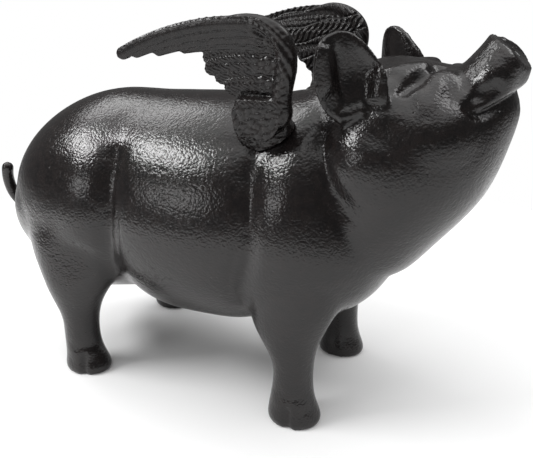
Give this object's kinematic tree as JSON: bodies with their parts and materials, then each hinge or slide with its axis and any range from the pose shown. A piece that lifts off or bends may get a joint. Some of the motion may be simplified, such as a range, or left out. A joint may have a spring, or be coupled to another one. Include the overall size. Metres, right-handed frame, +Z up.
{
  "type": "flying pig coin bank",
  "caption": "Hollow cast-iron pig with feathered wings and a coin slot in the nape, standing on its legs.",
  "frame": {"origin": "on the ground plane, under the middle of the pig's length, on the joint of the two halves", "axes": "+X along the body to the snout, +Y to the pig's left, +Z up"},
  "size_m": [0.2166, 0.0867, 0.1464],
  "materials": {
    "body_enamel": "sand-cast iron under satin-gloss black enamel",
    "wing_enamel": "sand-cast iron feathers under satin-gloss black enamel",
    "screw_steel": "plain turned steel"
  },
  "bodies": {
    "root": {"right_half": "body_enamel", "left_half": "body_enamel", "right_wing": "wing_enamel", "left_wing": "wing_enamel", "front_body_screw": "screw_steel", "rear_body_screw": "screw_steel", "right_wing_screw": "screw_steel", "left_wing_screw": "screw_steel", "right_wing_washer": "screw_steel", "left_wing_washer": "screw_steel"}
  },
  "joints": []
}
